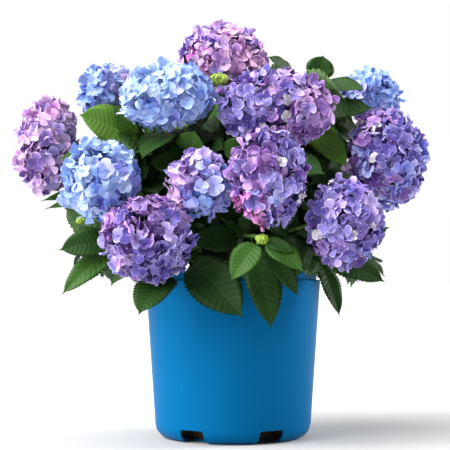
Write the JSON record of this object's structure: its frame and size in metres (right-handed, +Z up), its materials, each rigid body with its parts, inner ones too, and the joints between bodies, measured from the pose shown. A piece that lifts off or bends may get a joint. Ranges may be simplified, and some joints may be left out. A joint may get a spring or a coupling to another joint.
{
  "type": "potted hydrangea shrub",
  "caption": "Bigleaf hydrangea shrub in full flower, with blue, violet and pink mophead blooms and broad toothed leaves, growing in a blue plastic nursery pot.",
  "frame": {"origin": "middle of the pot's flat underside, where it stands on the ground", "axes": "+Z up along the pot's axis, -Y towards the plant's front, +X to the right as seen from the front"},
  "size_m": [0.5697, 0.4805, 0.583],
  "materials": {
    "pot": "moulded plastic with a soft sheen",
    "potting_mix": "damp bark and peat crumbs",
    "bark": "dull, furrowed and peeling",
    "foliage": "living leaf, slightly glossy above and matt below",
    "bloom_blue": "soft petals",
    "bloom_violet": "soft petals",
    "bloom_pink": "soft petals"
  },
  "bodies": {
    "root": {"pot": "pot", "potting_mix": "potting_mix", "root_crown": "bark", "cane_front_left": "bark", "cane_left": "bark", "cane_front": "bark", "cane_front_right": "bark", "cane_upper_left": "bark", "cane_upper_right": "bark", "cane_top": "bark", "cane_right": "bark", "cane_back_left": "bark", "cane_back": "bark", "cane_back_right": "bark", "leafy_shoot_left_high": "foliage", "leafy_shoot_left_low": "foliage", "leafy_shoot_left_under": "foliage", "leafy_shoot_left_bud": "foliage", "leafy_shoot_front_bud": "foliage", "leafy_shoot_front_low": "foliage", "leafy_shoot_right_low": "foliage", "leafy_shoot_right_high": "foliage", "leafy_shoot_top_right": "foliage", "leafy_shoot_top_bud": "foliage", "leafy_shoot_heart_left": "foliage", "leafy_shoot_heart_right": "foliage", "leafy_shoot_heart_far_right": "foliage", "leafy_shoot_heart_far_left": "foliage", "leafy_shoot_left_skirt": "foliage", "leafy_shoot_right_skirt": "foliage", "leafy_shoot_back_skirt_right": "foliage", "leafy_shoot_back_skirt": "foliage", "leafy_shoot_back_skirt_left": "foliage", "leafy_shoot_heart_back": "foliage", "leafy_shoot_heart_back_right": "foliage", "leafy_shoot_heart_back_left": "foliage", "flowering_shoot_top_pink": "bloom_pink", "flowering_shoot_upper_blue": "bloom_blue", "flowering_shoot_left_back_blue": "bloom_blue", "flowering_shoot_far_left_mauve": "bloom_pink", "flowering_shoot_left_blue": "bloom_blue", "flowering_shoot_lower_left_purple": "bloom_violet", "flowering_shoot_centre_lavender": "bloom_violet", "flowering_shoot_centre_purple": "bloom_violet", "flowering_shoot_upper_right_mauve": "bloom_pink", "flowering_shoot_right_violet": "bloom_violet", "flowering_shoot_lower_right_lilac": "bloom_violet", "flowering_shoot_far_right_blue": "bloom_blue", "flowering_shoot_back_upper_right": "bloom_violet", "flowering_shoot_back_upper_left": "bloom_violet", "flowering_shoot_back_far_right": "bloom_violet", "flowering_shoot_back_low_right": "bloom_violet", "flowering_shoot_back_low_left": "bloom_violet", "flowering_shoot_back_far_left": "bloom_violet"}
  },
  "joints": []
}
